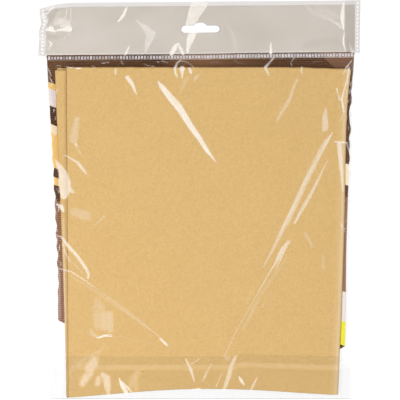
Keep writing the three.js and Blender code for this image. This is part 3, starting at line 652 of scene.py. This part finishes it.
def card_look():
    """Plain bands of colour down both sides of a brown card, with a fine printed screen."""
    look = Look("printed card")
    split = look.node("ShaderNodeSeparateXYZ", {"Vector": look.place})
    x, y = split.outputs["X"], split.outputs["Y"]
    height = look.math("MULTIPLY_ADD", x, BAND_SLANT, y)
    height = look.math("MULTIPLY_ADD", look.noise(60, 1.0), 0.002, height)

    def bands(rows, shift):
        low, high = BAND_RANGE
        level = look.spread(look.math("ADD", height, shift * MM), low * MM, high * MM)
        ramp = look.node("ShaderNodeValToRGB", {"Fac": level})
        ramp.color_ramp.interpolation = "CONSTANT"
        stops = ramp.color_ramp.elements
        for number, (start, colour) in enumerate(rows):
            stop = stops[number] if number < 2 else stops.new(1.0)
            stop.position = (start - low) / (high - low)
            stop.color = colour
        return ramp.outputs["Color"]

    side = look.math("GREATER_THAN", x, 0.0)
    colour = look.blend(side, bands(LEFT_BANDS, BAND_SHIFT), bands(RIGHT_BANDS, -BAND_SHIFT))
    panel = look.math("MULTIPLY_ADD", y, PANEL_FLARE, PANEL_HALF * MM)
    outward = look.math("SUBTRACT", look.math("ABSOLUTE", x), panel)
    colour = look.blend(look.math("GREATER_THAN", outward, 0.0), CREAM, colour)
    colour = look.blend(look.math("GREATER_THAN", outward, -RULE * MM), BROWN, colour)
    top = look.spread(y, (PLAIN_TOP - PLAIN_FADE) * MM, (PLAIN_TOP + PLAIN_FADE) * MM)
    colour = look.blend(top, colour, BROWN)
    # the printed screen lightens the darkest inks and darkens the middling ones
    screen = look.node("ShaderNodeTexWave", {"Vector": look.place, "Scale": 205.0}, bands_direction="Y")
    fine = look.math("MULTIPLY", look.noise(800, 2.0), 0.5)
    fine = look.math("MULTIPLY_ADD", screen.outputs["Fac"], 0.5, fine)
    tone = look.node("ShaderNodeRGBToBW", {"Color": colour}).outputs[0]
    ink = look.spread(tone, 0.1, 0.2, 0.85, 0.0)
    hatch = look.math("MULTIPLY", ink, look.spread(fine, 0.45, 0.8))
    colour = look.blend(hatch, colour, MID_BROWN)
    ink = look.spread(tone, 0.4, 0.32, 0.0, 0.75)
    ink = look.math("MULTIPLY", ink, look.spread(tone, 0.12, 0.2))
    hatch = look.math("MULTIPLY", ink, look.spread(fine, 0.4, 0.65))
    colour = look.blend(hatch, colour, WARM_BROWN)
    # painted reflection: the film's haze over the strip under the seam, painted into the card's colour
    colour = look.blend(look.field("sheen"), colour, MID_BROWN)
    # a paler upper right corner: painted reflection of the film's glare
    corner = look.spread(look.math("MULTIPLY_ADD", y, 1.08, x), 0.2305, 0.2315, 0.0, 0.3)
    colour = look.blend(corner, colour, PALE_BROWN)
    surface = look.node("ShaderNodeBsdfPrincipled", {
        "Base Color": colour,
        "Roughness": 0.45,
        "Specular IOR Level": 0.01,
        "Normal": look.bump(fine, 0.1, 0.0002),
    })
    return look.done(surface.outputs[0])


SUEDE_FACE = suede_look("tan suede", rgb(234, 197, 133), rgb(211, 171, 109))
CLEAR_FILM = film_look("clear film", (0.995, 0.995, 0.995, 1), 0.48)
HEADER_FILM = film_look("header film", (0.94, 0.93, 0.925, 1), 0.78)
SEAL_FILM = weld_look("side seal", 0.004, (0.85, 0.85, 0.85, 1))
MILKY_WELD = weld_look("milky weld", 0.75, rgb(226, 220, 216))
CRIMP_WELD = weld_look("crimps", 0.8, rgb(226, 218, 226))
GREY_STRIP = strip_look()
ADHESIVE = adhesive_look()
CARD_PRINT = card_look()


# Folded cloth

LEAF_COLUMNS = 56
FOLD_STEPS = 12
LEAF_ROWS = 62
HEM_STEPS = 10
CUT_EDGE = 0.0026  # share of a leaf's width
TOP_EDGE = 0.005  # share of a leaf's length
FOLD_EDGE = 0.007  # share of either, beside a fold
FOLD_TOP = 125.6
FOLD_BOTTOM = 114.7
FOLD_BOW = 2.1  # how far the side fold bows in, and what brings its curve's peak to 1
FOLD_BOW_SCALE = 14.9
LEFT_BOW = 0.9  # the same for the open side
LEFT_BOW_SCALE = 6.75
TOP_CORNER_DROP = 1.3
HEM_LEVEL = -157  # roughly, and the length above it
FOLDED_LENGTH = 268
SIDE_FRAY = 0.35
TOP_FRAY = 0.3
LIFTED_EDGE = 0.22  # how far the front leaf's cut edge stands off
WEAR_AND_HIGHLIGHT_HALF = 1.3  # half the width of the pale band along the side fold: worn nap and painted highlight


def hem_line(x):
    """The bottom edge of the folded cloth, bowed up in the middle."""
    return -157.3 + 0.011 * x - 0.00074 * x**2 + 2e-8 * x**4


def side_fold(up):
    """The folded side of the cloth, from its hem (0) to its top (1)."""
    return FOLD_BOTTOM + (FOLD_TOP - FOLD_BOTTOM) * up - FOLD_BOW * FOLD_BOW_SCALE * up**5 * (1 - up)


def narrow_ends(share, count, first, last):
    """Draws the first and last of a leaf's columns or rows together into narrow strips."""
    return np.interp(share, [0, 1 / count, 1 - 1 / count, 1], [0, first, 1 - last, 1])


def folded_suede():
    """One sheet, folded along its hem line and then along its side fold."""
    columns = 2 * LEAF_COLUMNS + FOLD_STEPS
    rows = 2 * LEAF_ROWS + HEM_STEPS
    bm, u, v = unit_grid(columns, rows)
    across, down = u * columns, v * rows
    turn = np.clip((across - LEAF_COLUMNS) / FOLD_STEPS, 0, 1)
    hem = np.clip((down - LEAF_ROWS) / HEM_STEPS, 0, 1)
    out = np.maximum(1 - across / LEAF_COLUMNS, (across - LEAF_COLUMNS - FOLD_STEPS) / LEAF_COLUMNS)
    up = np.maximum(1 - down / LEAF_ROWS, (down - LEAF_ROWS - HEM_STEPS) / LEAF_ROWS)
    out = narrow_ends(out, LEAF_COLUMNS, FOLD_EDGE, CUT_EDGE)
    up = narrow_ends(up, LEAF_ROWS, FOLD_EDGE, TOP_EDGE)

    def leaf_size(number):
        inner = LEAVES["inner back"][number] * (1 - turn) + LEAVES["inner front"][number] * turn
        outer = LEAVES["outer back"][number] * (1 - turn) + LEAVES["outer front"][number] * turn
        return inner * (1 - hem) + outer * hem

    half = (FOLDED_BOTTOM_WIDTH + (FOLDED_TOP_WIDTH - FOLDED_BOTTOM_WIDTH) * up) / 2
    fold_x = side_fold(up) - OUTER_FOLD
    left_x = STACK_OFFSET - half + leaf_size(1) * (1 - up) + leaf_size(0) * up
    left_x = left_x + LEFT_BOW * (1 - turn * hem) * LEFT_BOW_SCALE * up * (1 - up) ** 2
    lift = LEAF_PITCH / 2 * np.sin((hem - 0.5) * math.pi)
    radius = LEAF_PITCH + lift
    flat_x = fold_x + (left_x - fold_x) * out
    top = CLOTH_TOP - leaf_size(2) - TOP_CORNER_DROP * smooth(70, 124, flat_x)
    bottom = hem_line(flat_x) + PAIR_FOLD
    x = flat_x + radius * np.sin(turn * math.pi)
    y = bottom + (top - bottom) * up - LEAF_PITCH / 2 * np.cos((hem - 0.5) * math.pi)
    z = STACK_MIDDLE_Z - radius * np.cos(turn * math.pi)
    leaf_seed = 3 * np.round(turn) + 7 * np.round(hem)
    frayed = np.array([noise.noise((0, b / 6, s)) for b, s in zip(y, leaf_seed)])
    x = x + SIDE_FRAY * frayed * smooth(0.9, 1, out)
    frayed = np.array([noise.noise((a / 9, 0, s)) for a, s in zip(x, leaf_seed)])
    y = y + TOP_FRAY * frayed * smooth(0.9, 1, up)
    z = z + 0.07 * ripple(x, y, 34, 1.5) + LIFTED_EDGE * smooth(0.97, 1, out) * turn * hem
    # pale band along the side fold: partly worn nap, partly painted highlight
    worn = 1 - out * half / WEAR_AND_HIGHLIGHT_HALF
    # painted shade along the cut edges, where each leaf shades the one under it: darkest at the front leaf's
    # edges, and all of them paler towards the hem
    cut = np.maximum(smooth(1 - CUT_EDGE, 1, out), 0.85 * smooth(1 - TOP_EDGE, 1, up))
    cut = cut * (0.35 + 0.65 * turn * hem) * (0.6 + 0.4 * smooth(-110, -20, y))
    place(bm, x, y, z)
    return make_piece("folded_suede", bm, [SUEDE_FACE], wall=SUEDE, worn=np.clip(worn, 0, 1), cut=cut)


cloth = folded_suede()
stand_for("suede_cloth", cloth, "pouch")


# Printed card

CARD_TOP = 121.9
CARD_BOTTOM = -129.3
CARD_Z = 0.75
CARD_WALL = 0.3
CARD_CELL = 3.0
FOLD_CELL = 1.0  # finer beside the cloth's fold, from here on
FOLD_START = 110
FOLD_LIFT = 2.6  # how far the card rises beside the fold
LEFT_LIFT = 0.6
LEFT_INSET = 1.6  # how far the curled sides draw in
RIGHT_INSET = 1.5
DENT = 1.3  # in the right side, at this height
DENT_Y = 71
SHEEN = {
    # how far the strip under the seam is lightened, at these places across it: painted reflection of the
    # film's haze
    -117: 0.27, -100: 0.16, -84: 0.25, -67: 0.14, -50: 0.02, -34: 0.0, -17: 0.56, 0: 0.74, 16: 0.53,
    33: 0.3, 50: 0.16, 66: 0.1, 83: 0.04, 100: 0.04, 128: 0.1,
}


def printed_insert():
    """A thin card with cut bottom corners, bowed a little."""
    corners = [
        (-128.2, CARD_TOP), (-118.7, -100.3), (-61.4, CARD_BOTTOM),
        (107.2, CARD_BOTTOM), (120.3, -121.8), (128.2, CARD_TOP),
    ]
    bm = bmesh.new()
    bm.faces.new([bm.verts.new((x, y, 0)) for x, y in corners])
    columns = [*np.arange(-127, FOLD_START, CARD_CELL), *np.arange(FOLD_START, 128, FOLD_CELL)]
    rows = np.arange(CARD_BOTTOM + CARD_CELL, CARD_TOP, CARD_CELL)
    for axis, cuts in enumerate((columns, rows)):
        for cut in cuts:
            point, normal = [0, 0, 0], [0, 0, 0]
            point[axis] = cut
            normal[axis] = 1
            everything = list(bm.verts) + list(bm.edges) + list(bm.faces)
            bmesh.ops.bisect_plane(bm, geom=everything, plane_co=point, plane_no=normal)
    x, y, _ = coordinates(bm)
    right_curl = smooth(90, 125, x) * smooth(118, 75, y) * smooth(-115, -30, y)
    left_curl = smooth(-90, -122, x) * smooth(118, 0, y) * smooth(-100, -60, y)
    beside = x - side_fold(np.clip((y - HEM_LEVEL) / FOLDED_LENGTH, 0, 1))
    lifted = FOLD_LIFT * smooth(-1.5, 1.2, beside) * smooth(100, 50, y)
    z = CARD_Z + 0.06 * ripple(x, y, 45, 4.0) + LEFT_LIFT * left_curl + lifted
    ragged = 0.5 * np.sin(y / 1.95) + 0.3 * np.sin(y / 3.7 + 1)
    dent = DENT * np.exp(-(((y - DENT_Y) / 4) ** 2))
    right_inset = RIGHT_INSET + ragged * smooth(0, 45, y) + dent
    x = x - right_inset * right_curl + (LEFT_INSET + ragged) * left_curl
    # painted reflection of the film's haze on the brown strip, a little more on its lower part
    sheen = np.interp(x, list(SHEEN), list(SHEEN.values())) + 0.12 * smooth(116, 110, y)
    place(bm, x, askew(x, y), z)
    bmesh.ops.recalc_face_normals(bm, faces=bm.faces)
    return make_piece("printed_insert", bm, [CARD_PRINT], wall=CARD_WALL, sheen=sheen * (y > PLAIN_TOP))


stand_for("insert_card", printed_insert(), "pouch")


# Pouch

HAIRLINE_GLINTS = [
    # fine glints of the film over the card's brown top, painted highlights given as the creases above
    (1.2, 0.3, [(-112.5, 112.2, 0.1), (-109.2, 111.1, 0.3), (-105, 110.8, 0.15)]),
    (1.6, 0.3, [(-104, 110.6, 0.15), (-101.5, 110.2, 0.4), (-99.2, 110.4, 0.15)]),
    (0.8, 0.3, [(-121, 112.5, 0.1), (-118.5, 112.9, 0.2), (-116, 112.1, 0.1)]),
    (0.9, 0.3, [(-90.6, 113, 0.1), (-89, 111.6, 0.2), (-87.6, 110.7, 0.1)]),
    (0.8, 0.3, [(-84.5, 114.4, 0.1), (-79.5, 114.9, 0.2), (-76, 115.6, 0.1)]),
    (0.9, 0.3, [(-66.2, 116.6, 0.1), (-65.2, 114.6, 0.2), (-63.6, 113.2, 0.1)]),
    (0.8, 0.3, [(-47, 113.8, 0.1), (-43.5, 112.2, 0.2), (-38.5, 111.6, 0.1)]),
    (0.8, 0.3, [(-36, 115.4, 0.1), (-31.5, 115.9, 0.2), (-27.5, 114.7, 0.1)]),
    (0.35, 0.3, [(8, 113.9, 0.1), (13, 114.9, 0.2), (17, 114.2, 0.1)]),
    (0.4, 0.3, [(28, 116.4, 0.1), (31, 113.8, 0.2), (37, 112.4, 0.1)]),
    (0.3, 0.3, [(92.5, 113, 0.1), (97, 114.4, 0.2), (101, 114.1, 0.1)]),
    (0.7, 0.3, [(124.2, 112.6, 0.2), (126.2, 112.8, 0.2)]),
    (0.9, 0.3, [(-127, 112, 0.1), (-125.2, 108, 0.3), (-123.6, 103.8, 0.1)]),
    (0.9, 0.3, [(-126, 104.5, 0.1), (-124, 100.5, 0.3), (-122.4, 98, 0.1)]),
]
PUCKERED = [
    # side, lower and upper end of a puckered stretch, and how many small folds it has
    (1, 45, 112, 26), (1, -30, 25, 6), (-1, -75, 15, 26), (-1, 50, 112, 8),
]
BACK_END = GUSSET_Y + 0.1
SEAL_Z = 0.75
SEAL_WALL = 0.6


def puckers(seed):
    """Small folds of the film along the card's sides, with painted highlights on them."""
    draw = np.random.default_rng(seed)
    lines = []
    for side, low, high, count in PUCKERED:
        for _ in range(count):
            y = draw.uniform(low, high)
            x = side * (film_edge(y) - draw.uniform(1.8, 9.0))
            lean, run = draw.uniform(-2.2, 2.2), draw.uniform(1.5, 6.0)
            middle = (x + lean, y - run / 2, draw.uniform(0.15, 0.55))
            line = [(x, y, 0.1), middle, (x + lean / 2, y - run, 0.1)]
            lines.append((draw.uniform(0.25, 0.75), 0.3, line))
    return lines


def pouch_front():
    """Film that lies over the cloth and comes down beside it to the side seals and the seam."""
    streaks = BODY_STREAKS + HAIRLINE_GLINTS + puckers(21)
    bm, u, v = unit_grid(104, 115)
    y = POUCH_BOTTOM + (POUCH_TOP - POUCH_BOTTOM) * v
    place(bm, (2 * u - 1) * film_edge(y), y, np.zeros_like(u))
    refine_along(bm, streaks)
    x, y, _ = coordinates(bm)
    gleam, rise = gleam_and_rise(x, y, streaks)
    inward = film_edge(y) - np.abs(x)
    up = smooth(0, SIDE_RAMP, inward) * smooth(0, TOP_RAMP, POUCH_TOP - TOP_RIM - y)
    slack = 0.12 * ripple(x, y, 26, 2.0) + 0.07 * ripple(x, y, 9, 3.0)
    flank = smooth(0, 2, inward) * (1 - smooth(2, 9, inward))
    slack = slack + 0.3 * flank * np.abs(ripple(x * 0.5, y, 5, 6.0))
    z = RIM_Z + (FRONT_Z - RIM_Z) * up + slack * smooth(0, 2, inward) + rise * smooth(0, 6, POUCH_TOP - y)
    side = np.sign(x)
    x = x + edge_wave(y, side) * smooth(12, 0, inward)
    place(bm, x, askew(x, y), z)
    return make_piece("pouch_front_sheet", bm, [CLEAR_FILM], wall=FILM_WALL, gleam=gleam)


def pouch_back():
    """Film under the card, carried on to the mouth's lower fold."""
    bm, u, v = unit_grid(70, 80)
    y = BACK_END + (POUCH_TOP - BACK_END) * v
    x = (2 * u - 1) * film_edge(y)
    inward = film_edge(y) - np.abs(x)
    z = BACK_Z + 0.08 * (1 + ripple(x, y, 22, 8.0)) * smooth(0, 10, inward) * smooth(0, 8, y - GUSSET_Y)
    x = x + edge_wave(y, np.sign(x)) * smooth(12, 0, inward)
    bmesh.ops.reverse_faces(bm, faces=bm.faces)
    place(bm, x, askew(x, y), z)
    return make_piece("pouch_back_sheet", bm, [CLEAR_FILM], wall=FILM_WALL, gleam=np.zeros_like(x))


def side_seal(side):
    """The fused edge of front and back film, rippled by the heat."""
    name = "left_side_seal" if side < 0 else "right_side_seal"
    bm, u, v = unit_grid(4, 150)
    y = POUCH_BOTTOM + (POUCH_TOP - POUCH_BOTTOM) * v
    inset = SIDE_SEAL * (u if side < 0 else 1 - u)
    x = side * (pouch_half(y) - inset) + edge_wave(y, side)
    z = SEAL_Z + 0.1 * ripple(x, y, 9, 9.0) * (1 - inset / SIDE_SEAL)
    place(bm, x, askew(x, y), z)
    return make_piece(name, bm, [SEAL_FILM], wall=SEAL_WALL)


SEAM_BOTTOM = 117.0
SEAM_TOP = 121.2
CRIMP_Y = 119.3
SEAM_Z = 1.95
CRIMP_PITCH = 2.5
CRIMP_Z = 2.09
CRIMP_WALL = 0.3
CRIMP_BEVEL = 0.11


def crimped_seam():
    """A film strip with a row of pressed bars across it."""
    bm, u, v = unit_grid(130, 3)
    half = film_edge(SEAM_BOTTOM)
    y = SEAM_BOTTOM + (SEAM_TOP - SEAM_BOTTOM) * v
    place(bm, (2 * u - 1) * half, y, SEAM_Z - FILM_WALL / 2 + 0 * u)
    bmesh.ops.solidify(bm, geom=bm.faces, thickness=FILM_WALL)
    count = math.floor((2 * half - 2) / CRIMP_PITCH)
    draw = np.random.default_rng(11)
    thin = draw.uniform(0, 0.7, count + 1) * np.linspace(1.2, 0.3, count + 1)
    for number in range(count + 1):
        bar = bmesh.ops.create_cube(bm, size=1.0)["verts"]
        size = (draw.uniform(0.9, 1.8), draw.uniform(1.9, 3.0), CRIMP_WALL)
        bmesh.ops.scale(bm, vec=size, verts=bar)
        edges = {edge for vertex in bar for edge in vertex.link_edges}
        faces = {face for vertex in bar for face in vertex.link_faces}
        for face in faces:
            face.material_index = 1
        x = (number - count / 2) * CRIMP_PITCH
        bmesh.ops.translate(bm, vec=(x, CRIMP_Y + draw.uniform(-0.15, 0.15), CRIMP_Z), verts=bar)
        bmesh.ops.bevel(
            bm, geom=list(edges), offset=CRIMP_BEVEL, affect="EDGES", segments=1, profile=0.5, material=-1
        )
    x, y, z = coordinates(bm)
    nearest = np.clip(np.round(x / CRIMP_PITCH + count / 2), 0, count).astype(int)
    milky = 0.2 * smooth(-50, -20, x)
    place(bm, x, askew(x, y), z)
    return make_piece("crimped_seam", bm, [CLEAR_FILM, CRIMP_WELD], gleam=0.1 + milky, pressed=thin[nearest])


pouch_pieces = {
    "pouch_front_film": pouch_front(),
    "pouch_back_film": pouch_back(),
    "pouch_left_seal": side_seal(-1),
    "pouch_right_seal": side_seal(1),
    "seam_weld": crimped_seam(),
}
for node, piece in pouch_pieces.items():
    let_light_through(piece)
    stand_for(node, piece, "pouch")


# Header

HEADER_FRONT_Z = 1.42
STRIP_Z = 0.85
HEADER_BACK_Z = 0.38
STRIP_WALL = 0.25
STRIP_INSET = 0.8
FILM_TAIL = 1.3  # how far the header's films run on under the seam
CRUMPLED_FROM = -106  # the header's left corner
CRUMPLED_WIDTH = 28
CORNER_SAG = 5.2
CORNER_DENT = 1.6
SIDE_LEAN = 1.2  # how far its sides stand to the left
RAISED_FROM = 108  # the right corner
RAISED_WIDTH = 26
NEAR_SLOT = 2
SLOT_FINE = (3.0, 1.6)  # how far round the slot the grid is finer, and finer again


def header_warp(x, y, z):
    """Sets the header askew, slants its sides and crumples its left corner."""
    share = np.clip((y - HEADER_BOTTOM) / (HEADER_TOP - HEADER_BOTTOM), 0, 1)
    corner = np.clip((CRUMPLED_FROM - x) / CRUMPLED_WIDTH, 0, 1)
    sag = CORNER_SAG * corner**1.9 * share**1.3
    crumple = corner * share * (1.0 + np.sin(0.5 * x + 0.3 * y) + 0.5 * np.sin(0.9 * y - 0.4 * x))
    wander = CORNER_DENT * corner * np.exp(-(((y - 152) / 4.5) ** 2))
    rim = np.clip((np.abs(x) - 128) / 6, 0, 1)
    wander = wander - SIDE_LEAN * rim * np.where(x < 0, 1 - share, 1 - 0.5 * share)
    right = np.clip((x - RAISED_FROM) / RAISED_WIDTH, 0, 1)
    wave = 0.25 * (1 + ripple(x, y, 30, 12.0)) * share + 0.5 * right * share
    return x + wander, askew(x, y) - sag, z + wave + 0.55 * np.maximum(crumple, 0)


def slot_distance(x, y):
    """Millimetres from the border of the hanging slot, negative inside it."""
    rise = y - SLOT_Y
    bar = np.hypot(np.maximum(np.abs(x) - SLOT_REACH, 0), rise) - SLOT_RADIUS
    bump = np.hypot(x, rise + BUMP_RADIUS - BUMP_RISE - SLOT_RADIUS) - BUMP_RADIUS
    return np.minimum(bar, np.where(rise > 0, bump, FAR))


def cut_slot(bm):
    """Takes out the faces inside the slot and draws the border onto its line."""
    for reach in SLOT_FINE:
        x, y, _ = face_middles(bm)
        split_faces(bm, np.abs(slot_distance(x, y)) < reach)
    x, y, _ = face_middles(bm)
    inside = [face for face, d in zip(bm.faces, slot_distance(x, y)) if d < 0]
    bmesh.ops.delete(bm, geom=inside, context="FACES")
    step = 0.01
    for vertex in bm.verts:
        if vertex.is_boundary and slot_distance(vertex.co.x, vertex.co.y) < NEAR_SLOT:
            for _ in range(4):
                x, y = vertex.co.x, vertex.co.y
                off = slot_distance(x, y)
                slope_x = (slot_distance(x + step, y) - off) / step
                slope_y = (slot_distance(x, y + step) - off) / step
                vertex.co.x -= off * slope_x
                vertex.co.y -= off * slope_y


def header_layer(name, material, level, bottom, top, wall, streaks=()):
    """One of the sheets that the header is made of, with the slot cut out of it."""
    bm, u, v = unit_grid(118, 21)
    place(bm, (2 * u - 1) * HEADER_FILM_HALF, bottom + (top - bottom) * v, 0 * u)
    if streaks:
        refine_along(bm, streaks)
    cut_slot(bm)
    x, y, _ = coordinates(bm)
    gleam, rise = gleam_and_rise(x, y, streaks)
    # painted shadow along the slot's edge, darker towards its right end
    cut = (slot_distance(x, y) < 0.05) * (0.25 + 0.75 * smooth(-2, 10, x))
    x, y, z = header_warp(x, y, level + rise)
    place(bm, x, y, z)
    return make_piece(name, bm, [material], wall=wall, gleam=gleam, cut=cut)


DOT_PITCH = 3.3
DOT_RADIUS = 1.0
DOT_COLUMN = 131.4
WELD_WIDTH = 4.8
WELD_WALL = 0.5
WELD_Z = 0.6
DOT_DEPTH = 0.15


def header_weld(side):
    """The header's fused side, with a column of dots pressed thin."""
    name = "left_header_weld" if side < 0 else "right_header_weld"
    bm, u, v = unit_grid(14, 120)
    x = side * HEADER_HALF + WELD_WIDTH * (u - 1 if side > 0 else u)
    place(bm, x, HEADER_BOTTOM + (HEADER_TOP - HEADER_BOTTOM) * v, WELD_Z + 0 * u)
    bmesh.ops.solidify(bm, geom=bm.faces, thickness=-WELD_WALL)
    x, y, z = coordinates(bm)
    row = (y - (HEADER_BOTTOM + HEADER_TOP) / 2) / DOT_PITCH
    off = np.hypot(x - side * DOT_COLUMN, (row - np.round(row)) * DOT_PITCH)
    pressed = smooth(DOT_RADIUS + 0.25, DOT_RADIUS - 0.25, off)
    z = z - DOT_DEPTH * pressed * (z > WELD_Z + WELD_WALL / 2)
    place(bm, *header_warp(x, y, z))
    bmesh.ops.recalc_face_normals(bm, faces=bm.faces)
    return make_piece(name, bm, [MILKY_WELD], pressed=0.85 * pressed)


header_films = {
    "header_front_film": ("header_front_sheet", HEADER_FRONT_Z, HEADER_STREAKS),
    "header_back_film": ("header_back_sheet", HEADER_BACK_Z, ()),
}
for node, (name, level, streaks) in header_films.items():
    piece = header_layer(name, HEADER_FILM, level, HEADER_BOTTOM - FILM_TAIL, HEADER_TOP, FILM_WALL, streaks)
    let_light_through(piece)
    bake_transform(piece)
    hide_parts(node)

strip = header_layer(
    "grey_header_strip", GREY_STRIP, STRIP_Z, HEADER_BOTTOM + STRIP_INSET, HEADER_TOP - CLEAR_BAND, STRIP_WALL
)
stand_for("header_strip", strip, "header")

for side, node in ((-1, "header_left_weld"), (1, "header_right_weld")):
    stand_for(node, let_light_through(header_weld(side)), "header")


# Closure flap

FLAP_DULL = -0.19
FLAP_STEP = 2.2
FLAP_DROOP = 2.6
GUSSET_FOOT = 0.12
ADHESIVE_INSET = 0.4
ADHESIVE_DEPTH = 0.35  # under the flap


def flap_wander(x, y):
    """The flap's free edge steps up at a crease and comes down again to the right."""
    return FLAP_STEP * smooth(27, 33, x) * np.clip((103 - x) / 70, 0, 1) * smooth(-160, -142, y)


def flap_droop(x, y):
    """The flap's sides hang down beside the cloth, away from its fold."""
    return FLAP_DROOP * smooth(115, FLAP_HALF, np.abs(x)) * smooth(0, 16, y - GUSSET_Y)


def flap_wave(x, y):
    """Slow waves that the flap shares with its adhesive."""
    return 0.14 * (1 + ripple(x, y, 24, 16.0))


def mouth_gusset():
    """The film that goes up round the open mouth, from the back film to the flap."""
    bm, u, v = unit_grid(90, 8)
    x = (2 * u - 1) * FLAP_HALF
    z = GUSSET_FOOT + (FLAP_Z - GUSSET_FOOT) * v
    bulge = np.sin(v * math.pi) * (0.45 + 0.35 * ripple(x, 30 * v, 18, 14.0))
    place(bm, x, GUSSET_Y - bulge, z)
    return make_piece("mouth_gusset", bm, [CLEAR_FILM], wall=FILM_WALL, gleam=0.12 + 0 * x)


def flap_sheet():
    """The film that is folded up over the front, dull where it lies on the cloth."""
    bm, u, v = unit_grid(100, 16)
    place(bm, (2 * u - 1) * FLAP_HALF, GUSSET_Y + (FLAP_EDGE - GUSSET_Y) * v, 0 * u)
    refine_along(bm, FLAP_STREAKS)
    x, y, _ = coordinates(bm)
    gleam, rise = gleam_and_rise(x, y, FLAP_STREAKS)
    # clear beside the cloth, at the height of the adhesive
    clear = smooth(113, 115, np.abs(x)) * smooth(ADHESIVE_BOTTOM - 1, ADHESIVE_BOTTOM, y)
    gleam = np.where(gleam > 0, gleam, FLAP_DULL * (1 - clear))
    away = smooth(0, 5, y - GUSSET_Y)
    wave = flap_wave(x, y) + 0.06 * ripple(x, y, 8, 17.0)
    place(bm, x, y + flap_wander(x, y), FLAP_Z + (wave + rise) * away - flap_droop(x, y))
    return make_piece("flap_sheet", bm, [CLEAR_FILM], wall=FILM_WALL, gleam=gleam)


def flap_adhesive():
    """The sticky strip under the flap's free edge."""
    bm, u, v = unit_grid(100, 6)
    x = (2 * u - 1) * (FLAP_HALF - ADHESIVE_INSET)
    y = ADHESIVE_BOTTOM + (ADHESIVE_TOP - ADHESIVE_BOTTOM) * v
    z = FLAP_Z - ADHESIVE_DEPTH + flap_wave(x, y) - flap_droop(x, y)
    place(bm, x, y + flap_wander(x, y), z)
    return make_piece("flap_adhesive", bm, [ADHESIVE])


stand_for("flap_gusset", let_light_through(mouth_gusset()), "gusset")
stand_for("closure_flap", let_light_through(flap_sheet()), "flap")
stand_for("adhesive_strip", let_light_through(flap_adhesive()), "flap")


# Floor, lamps and camera


def seen_by_eye(tree):
    """1 for what the eye sees, straight or by way of mirrors and film, and 0 for light on surfaces."""
    path = tree.nodes.new("ShaderNodeLightPath").outputs
    seen = path["Is Camera Ray"]
    for ray in ("Is Glossy Ray", "Is Transmission Ray"):
        either = tree.nodes.new("ShaderNodeMath")
        either.operation = "MAXIMUM"
        tree.links.new(seen, either.inputs[0])
        tree.links.new(path[ray], either.inputs[1])
        seen = either.outputs[0]
    return seen


def studio_floor():
    """White to the eye and in mirrors, and pale with the pack's shadow on it as a surface."""
    look = Look("white floor")
    paper = look.node("ShaderNodeBsdfDiffuse", {"Color": (0.2, 0.2, 0.2, 1)})
    white = look.math("MULTIPLY", seen_by_eye(look.tree), 0.87)
    glow = look.node("ShaderNodeEmission", {"Strength": white})
    lit = look.node("ShaderNodeAddShader", {0: paper.outputs[0], 1: glow.outputs[0]})
    bm = bmesh.new()
    bmesh.ops.create_grid(bm, x_segments=1, y_segments=1, size=2500)
    bmesh.ops.translate(bm, verts=bm.verts, vec=(0, 0, -0.2))
    return make_piece("studio_floor", bm, [look.done(lit.outputs[0])])


def softbox(name, place_m, size_m, watts):
    lamp = bpy.data.lights.new(name, "AREA")
    lamp.shape = "RECTANGLE"
    lamp.size, lamp.size_y = size_m
    lamp.energy = watts
    holder = bpy.data.objects.new(name, lamp)
    bpy.context.scene.collection.objects.link(holder)
    holder.location = place_m
    holder.rotation_euler = (-holder.location).to_track_quat("-Z", "Y").to_euler()


studio_floor()
softbox("left_softbox", (-0.5, -0.2, 1.0), (0.4, 0.5), 5.5)
softbox("right_softbox", (1.9, 0.35, 1.6), (0.5, 0.7), 14)
softbox("lower_softbox", (-0.45, -0.95, 1.0), (0.7, 0.4), 3)


def white_room():
    """White to the eye and in mirrors, and dimmer as a light."""
    world = bpy.data.worlds.new("studio")
    world.use_nodes = True
    tree = world.node_tree
    strength = tree.nodes.new("ShaderNodeMapRange")
    strength.inputs["To Min"].default_value = 0.415
    tree.links.new(seen_by_eye(tree), strength.inputs["Value"])
    background = tree.nodes["Background"]
    background.inputs["Color"].default_value = (1, 1, 1, 1)
    tree.links.new(strength.outputs[0], background.inputs["Strength"])
    return world


bpy.context.scene.world = white_room()
bpy.context.scene.view_settings.view_transform = "Standard"

CAMERA_HEIGHT = 1.6
PICTURE_WIDTH = 0.3333  # at this level
PICTURE_LEVEL = 0.003
SENSOR_MM = 36
camera = bpy.data.cameras.new("overhead")
camera.sensor_width = SENSOR_MM
camera.lens = SENSOR_MM * (CAMERA_HEIGHT - PICTURE_LEVEL) / PICTURE_WIDTH
overhead = bpy.data.objects.new("overhead", camera)
bpy.context.scene.collection.objects.link(overhead)
overhead.location = (-0.0004, 0, CAMERA_HEIGHT)
bpy.context.scene.camera = overhead
